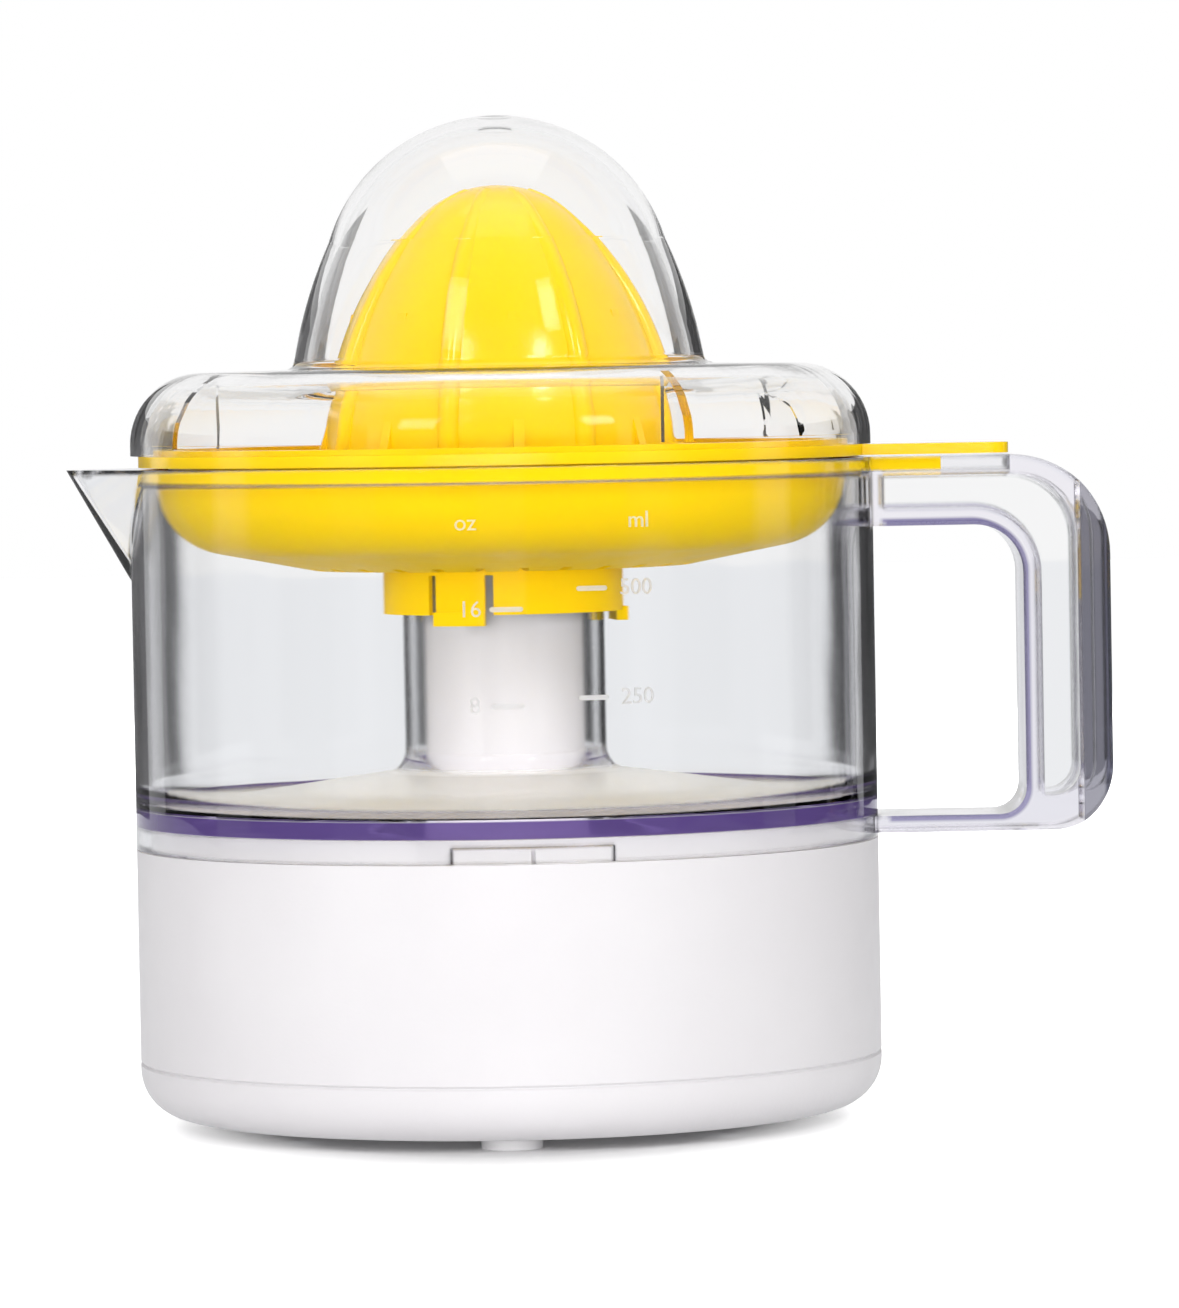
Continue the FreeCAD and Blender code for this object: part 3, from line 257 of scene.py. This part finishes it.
def jug_shade_and_satin(tree, shader, tint, rough):
    """Painted shade: a violet band round the bottom's outer edge, a line round the finger gap and dark bevels
    on the handle; and a satin bottom.
    """
    place = axes(tree, own_place(tree))
    turned = axes(tree, tree.nodes.new("ShaderNodeNewGeometry").outputs["True Normal"])
    reach = math_of(tree, "ADD", squared(tree, place[0]), squared(tree, place[1]))
    # The band of painted shade round the bottom's outer edge.
    rim_shade = product(tree, window(tree, place[2], *RIM_LEVELS),
                  window(tree, reach, *(radius ** 2 for radius in RIM_RADII)))
    slant = product(tree, squared(tree, turned[0]), squared(tree, turned[1]))
    # Painted shade on the handle's slanted bevels, darker still towards their far end.
    bevel_shade = product(tree, span(tree, slant, 0, 1, 0.2, 0.24), span(tree, place[0], 0, 1, *BEVEL_FROM))
    bevel_end_shade = product(tree, bevel_shade, span(tree, place[0], 0, 1, *BEVEL_END_FROM))
    faces = span(tree, math_of(tree, "ABSOLUTE", turned[1]), 0.25, 1, 0.2, 0.6)
    bottom = product(tree, window(tree, place[2], *BOTTOM_LEVELS), span(tree, turned[2], 0, 1, 0.7, 0.9),
                     span(tree, reach, 1, 0, *(radius ** 2 for radius in BOTTOM_RADII)))
    for mask, colour in ((rim_shade, RIM_SHADE_COLOUR), (bevel_shade, BEVEL_SHADE_COLOUR), (bevel_end_shade, BEVEL_END_SHADE_COLOUR),
                         (product(tree, gap_shade_line(tree, place), faces), GAP_SHADE_COLOUR), (bottom, BOTTOM_COLOUR)):
        tint = mixed(tree, mask, tint, colour)
    dull = math_of(tree, "MAXIMUM", product(tree, bottom, BOTTOM_DULL), product(tree, rim_shade, RIM_DULL))
    tree.links.new(math_of(tree, "SUBTRACT", 1.0, dull), shader.inputs["Transmission Weight"])
    return tint, math_of(tree, "ADD", rough, product(tree, bottom, BOTTOM_ROUGH))


# Finishes and the nodes that have them

white = moulded("white_shell", (0.672, 0.654, 0.672), (0.712, 0.696, 0.712), (0.30, 0.40), gloss=0.3)
# A brighter copy of the white plastic for the column: painted light, making up for the bowl's shade and the
# clear walls in front of it.
brightened_white = moulded("white_column_brightened", (0.85, 0.82, 0.838), (0.88, 0.857, 0.87), (0.30, 0.40), gloss=0.3)
yellow = moulded("yellow_plastic", (0.92, 0.585, 0.001), (0.95, 0.64, 0.002), (0.14, 0.22), glow=0.12)
# Rougher and less glossy than the cone's plastic, and brighter: partly its finish, partly painted light on
# the bowl's shaded underside.
satin = moulded("yellow_satin_brightened", (0.99, 0.64, 0.001), (1.0, 0.68, 0.002), (0.38, 0.5), glow=0.12, gloss=0.14)
# The second colour of each clear finish is painted shade at a slant.
glass = clear("clear_plastic", (0.98, 0.985, 0.982), (0.55, 0.55, 0.57), (0.30, 0.12, 0.62), 5.0,
              rounding=0.0013, paint=jug_shade_and_satin)
dome = clear("clear_lid", (0.985, 0.985, 0.985), (0.93, 0.93, 0.93), (0.55, 0.50, 0.55), 4.0)
rubber = moulded("grey_rubber", (0.62, 0.61, 0.62), (0.72, 0.71, 0.72), (0.55, 0.75), 2600, 0.00005)
steel = metal("steel", (0.50, 0.50, 0.52), (0.66, 0.66, 0.67), (0.22, 0.38), (1, 1, 0.06))
gears = moulded("gear_plastic", (0.72, 0.70, 0.64), (0.80, 0.78, 0.72), (0.34, 0.46), 900, 0.00003)
black = moulded("frame_plastic", (0.030, 0.030, 0.033), (0.050, 0.050, 0.054), (0.36, 0.52), 1100, 0.00005)
copper = wound("copper_wire")
bronze = metal("bearing_bronze", (0.42, 0.25, 0.10), (0.62, 0.40, 0.18), (0.34, 0.5), (1, 1, 1),
               1500, 0.00003)
ferrite = moulded("bonded_ferrite", (0.045, 0.043, 0.045), (0.085, 0.082, 0.084), (0.5, 0.7), 1800, 0.00006)

FINISHES = {
    white: ("base_housing", "bottom_cover"),
    brightened_white: ("drive_column",),
    yellow: ("pulp_selector", "reamer_cone"),
    satin: ("pulp_bowl",),
    glass: ("jug",),
    dome: ("lid",),
    rubber: ("rubber_feet", "inlet_grommet", "shaft_seal"),
    steel: ("cover_screws", "gear_plate_screws", "motor_can", "motor_cover", "lower_pole_plate",
            "upper_pole_plate", "rotor_shaft", "motor_screws", "gear_axle", "drive_shaft", "shaft_clip",
            "return_spring"),
    gears: ("compound_gear", "motor_pinion", "output_gear", "drive_sleeve", "rotor_hub", "press_plunger"),
    black: ("gear_plate", "coil_bobbin", "switch_button", "switch_body"),
    copper: ("stator_coil",),
    bronze: ("lower_bush", "upper_bush"),
    ferrite: ("rotor_magnet",),
}
for material, names in FINISHES.items():
    for name in names:
        nodes[name].data.materials.clear()
        nodes[name].data.materials.append(material)
for name in ("jug", "lid"):
    nodes[name].visible_shadow = False


# The return spring, a copy with its own mesh, on the base in place of the part

spring = placed("spring_coil", nodes["return_spring"].data.copy())
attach(spring, "base")
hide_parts("return_spring")
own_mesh(spring)


# The jug's scale, raised on the inside of its wall: text, degrees from the front, height, and a tick's width

JUG_BORE = 0.0674
MARK_DEPTH, MARK_SINK = 0.0003, 0.00004
TICK_HEIGHT, LETTER_SIZE = 0.0009, 0.0042
TICKS = (("250", 13.7, 0.0822, 0.0056), ("500", 13.7, 0.1019, 0.0056),
         ("8", 0.6, 0.0810, 0.0060), ("16", 0.6, 0.0984, 0.0060))
LABELS = (("250", 20.7, 0.0822), ("500", 20.7, 0.1019), ("ml", 21.3, 0.1140),
          ("8", -4.4, 0.0810), ("16", -4.9, 0.0984), ("oz", -5.4, 0.1140))


def frosted(name):
    """Raised marks of the jug's own plastic, dulled so that they read."""
    material, tree, shader = new_material(name)
    tree.links.new(mixed(tree, noise(tree, 300, 3), (0.86, 0.86, 0.87), (0.98, 0.98, 0.98)),
                   shader.inputs["Base Color"])
    tree.links.new(span(tree, noise(tree, 900, 2), 0.28, 0.5), shader.inputs["Roughness"])
    skin(tree, shader, noise(tree, 2500, 2), 0.00003)
    shader.inputs["Transmission Weight"].default_value = 0.8
    shader.inputs["IOR"].default_value = CLEAR_IOR
    return material


def on_wall(name, flat, degrees, level):
    """A flat outline raised on the jug's inner wall: x runs round it and y goes up."""
    mesh = bmesh.new()
    mesh.from_mesh(flat)
    bpy.data.meshes.remove(flat)
    raised = bmesh.ops.extrude_face_region(mesh, geom=list(mesh.faces))
    for item in raised["geom"]:
        if isinstance(item, bmesh.types.BMVert):
            item.co.z = MARK_DEPTH
    for vert in mesh.verts:
        turn = math.radians(degrees) + vert.co.x / JUG_BORE
        radius = JUG_BORE + MARK_SINK - vert.co.z
        vert.co = (radius * math.sin(turn), -radius * math.cos(turn), level + vert.co.y)
    bmesh.ops.recalc_face_normals(mesh, faces=mesh.faces)
    data = bpy.data.meshes.new(name)
    mesh.to_mesh(data)
    mesh.free()
    piece = placed(name, data)
    piece.data.materials.append(marks)
    piece.visible_shadow = False
    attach(piece, "jug")


def lettering(text):
    curve = bpy.data.curves.new(text, "FONT")
    curve.body, curve.size, curve.align_x, curve.align_y = text, LETTER_SIZE, "CENTER", "CENTER"
    curve.resolution_u = 3
    holder = placed(text, curve)
    bpy.context.view_layer.update()
    flat = bpy.data.meshes.new_from_object(holder)
    bpy.data.objects.remove(holder)
    bpy.data.curves.remove(curve)
    return flat


def bar(width):
    """A tick with round ends."""
    mesh = bmesh.new()
    half = TICK_HEIGHT / 2
    outline = []
    for side, start in ((1, math.pi / 2), (-1, -math.pi / 2)):
        for step in range(7):
            turn = start - step * math.pi / 6
            outline.append((side * (width / 2 - half) + half * math.cos(turn), half * math.sin(turn), 0))
    mesh.faces.new([mesh.verts.new(point) for point in outline])
    data = bpy.data.meshes.new("bar")
    mesh.to_mesh(data)
    mesh.free()
    return data


marks = frosted("scale_marks")
for text, degrees, level, width in TICKS:
    on_wall(f"tick_{text}", bar(width), degrees, level)
for text, degrees, level in LABELS:
    on_wall(f"label_{text}", lettering(text), degrees, level)


# Camera, fitted to points measured in the picture

PICTURE_WIDTH, FOCAL_LENGTH = 1179, 7419  # pixels
CAMERA_PLACE = (0.0046, -1.4, 0.1399)
PAN, TILT, ROLL = (math.radians(degrees) for degrees in (-0.47, 2.14, -1.02))

camera = bpy.data.cameras.new("camera")
camera.sensor_fit = "HORIZONTAL"
camera.sensor_width = 36
camera.lens = FOCAL_LENGTH * camera.sensor_width / PICTURE_WIDTH
viewer = placed("camera", camera)
viewer.matrix_world = (Matrix.Translation(CAMERA_PLACE) @ Matrix.Rotation(PAN, 4, "Z")
                       @ Matrix.Rotation(math.pi / 2 - TILT, 4, "X") @ Matrix.Rotation(ROLL, 4, "Z"))
bpy.context.scene.camera = viewer


# Floor, screens and room

FLOOR_HALF = 4
CONTACT = (0.068, 0.104)  # distances over which the floor's glow rises to white: under the part its real shadow, round it a ring of painted shade
SCREEN_RADIUS, SCREEN_FOOT, SCREEN_TOP, SCREEN_STEPS = 1, 0.002, 0.3, 12
SCREEN_COUNT, SCREEN_HALF, SCREEN_HALF_BEHIND = 8, 15.5, 11  # half widths in degrees
RIGHT_TONE, LEFT_TONE = 0.05, 0.12
ROOM_LIGHT = 0.26


def on_stage(name, points, faces, material):
    mesh = bpy.data.meshes.new(name)
    mesh.from_pydata(points, [], faces)
    mesh.materials.append(material)
    piece = placed(name, mesh)
    return piece


def paths(tree):
    """One where the camera sees the surface, and one where gloss or a clear wall shows it."""
    path = tree.nodes.new("ShaderNodeLightPath").outputs
    looked = math_of(tree, "MAXIMUM", path["Is Glossy Ray"], path["Is Transmission Ray"])
    return path["Is Camera Ray"], looked


def pale_floor():
    """Pale under the part, where it keeps the shadow and a ring of painted shade from a weaker glow, glowing
    white further off, and even through clear walls.
    """
    material, tree, shader = new_material("floor")
    tree.links.new(mixed(tree, noise(tree, 3, 2), (0.87, 0.87, 0.87), (0.89, 0.89, 0.89)),
                   shader.inputs["Base Color"])
    shader.inputs["Roughness"].default_value = 0.7
    shader.inputs["Emission Color"].default_value = (1, 1, 1, 1)
    oval = add(tree, "Mapping", Vector=own_place(tree), Scale=(1.5, 1, 1)).outputs["Vector"]
    away = add(tree, "VectorMath", Vector=oval)
    away.operation = "LENGTH"
    seen, looked = paths(tree)
    tree.links.new(product(tree, span(tree, away.outputs["Value"], 0.0, 0.75, *CONTACT), seen),
                   shader.inputs["Emission Strength"])
    even = add(tree, "Emission", Color=(0.97, 0.98, 1, 1), Strength=0.9)
    either = tree.nodes.new("ShaderNodeMixShader")
    for socket, content in zip(either.inputs, (looked, shader.outputs[0], even.outputs[0])):
        tree.links.new(content, socket)
    tree.links.new(either.outputs[0], tree.nodes["Material Output"].inputs["Surface"])
    return material


def screen(name, start, end, tone):
    """A dark standing screen beside the set, which only gloss and clear walls show."""
    material, tree, shader = new_material(name)
    tree.links.new(mixed(tree, noise(tree, 6, 2), (tone, tone, tone), (tone * 1.2, tone * 1.2, tone * 1.25)),
                   shader.inputs["Base Color"])
    shader.inputs["Roughness"].default_value = 0.9
    ways = [math.radians(start + (end - start) * step / SCREEN_STEPS) for step in range(SCREEN_STEPS + 1)]
    piece = on_stage(name, [(SCREEN_RADIUS * math.sin(way), SCREEN_RADIUS * math.cos(way), level)
                            for way in ways for level in (SCREEN_FOOT, SCREEN_TOP)],
                     [(2 * i, 2 * i + 2, 2 * i + 3, 2 * i + 1) for i in range(SCREEN_STEPS)], material)
    piece.visible_camera = piece.visible_diffuse = piece.visible_shadow = False


on_stage("floor", [(-FLOOR_HALF, -FLOOR_HALF, 0), (FLOOR_HALF, -FLOOR_HALF, 0), (FLOOR_HALF, FLOOR_HALF, 0),
                   (-FLOOR_HALF, FLOOR_HALF, 0)], [(0, 1, 2, 3)], pale_floor())
for step in range(SCREEN_COUNT):
    middle = (step + 0.5) * 360 / SCREEN_COUNT
    screen(f"screen_{step}", middle - (SCREEN_HALF_BEHIND if step == 0 else SCREEN_HALF),
           middle + (SCREEN_HALF_BEHIND if step == SCREEN_COUNT - 1 else SCREEN_HALF),
           RIGHT_TONE if step < SCREEN_COUNT / 2 else LEFT_TONE)

world = bpy.data.worlds.new("studio")
bpy.context.scene.world = world
world.use_nodes = True
tree = world.node_tree
back = tree.nodes["Background"]
back.inputs["Color"].default_value = (1, 1, 1, 1)
seen, looked = paths(tree)
way = axes(tree, tree.nodes.new("ShaderNodeTexCoord").outputs["Generated"])
room = math_of(tree, "MAXIMUM", span(tree, way["Y"], 0.3, 0.955, -0.6, -0.1), seen)
shown = product(tree, room, math_of(tree, "MAXIMUM", looked, seen))
tree.links.new(math_of(tree, "MAXIMUM", shown, ROOM_LIGHT), back.inputs["Strength"])


# Lamps: name, place, height aimed at, width, height, watts and whether gloss and clear walls show them

LAMPS = (
    ("key", (-0.6, -1.2, 0.9), 0.1, 0.3, 0.4, 2.8, True),
    ("fill", (0.7, -1.1, 0.9), 0.1, 0.22, 0.3, 2.4, True),
    ("front", (-0.1, -1.6, 0.1), 0.09, 1.0, 0.2, 12.4, False),
    ("left", (-1.25, -1.0, 0.4), 0.09, 0.6, 0.4, 7, False),
    ("right", (1.25, -1.0, 0.4), 0.09, 0.6, 0.4, 6.5, False),
    ("back_-1", (-0.5, 1.6, 0.45), 0.09, 0.3, 0.4, 12, False),
    ("back_1", (0.5, 1.6, 0.45), 0.09, 0.3, 0.4, 12, False),
    ("top", (0, 0.15, 1.3), 0.1, 0.9, 0.7, 1.6, True),
)
for name, place, aim, width, height, watts, mirrored in LAMPS:
    light = bpy.data.lights.new(name, "AREA")
    light.shape, light.size, light.size_y, light.energy = "RECTANGLE", width, height, watts
    lamp = placed(name, light)
    ray = Vector((0, 0, aim)) - Vector(place)
    lamp.matrix_world = Matrix.Translation(place) @ ray.to_track_quat("-Z", "Y").to_matrix().to_4x4()
    lamp.visible_camera = False
    lamp.visible_glossy = lamp.visible_transmission = mirrored

bpy.context.scene.view_settings.view_transform = "Standard"
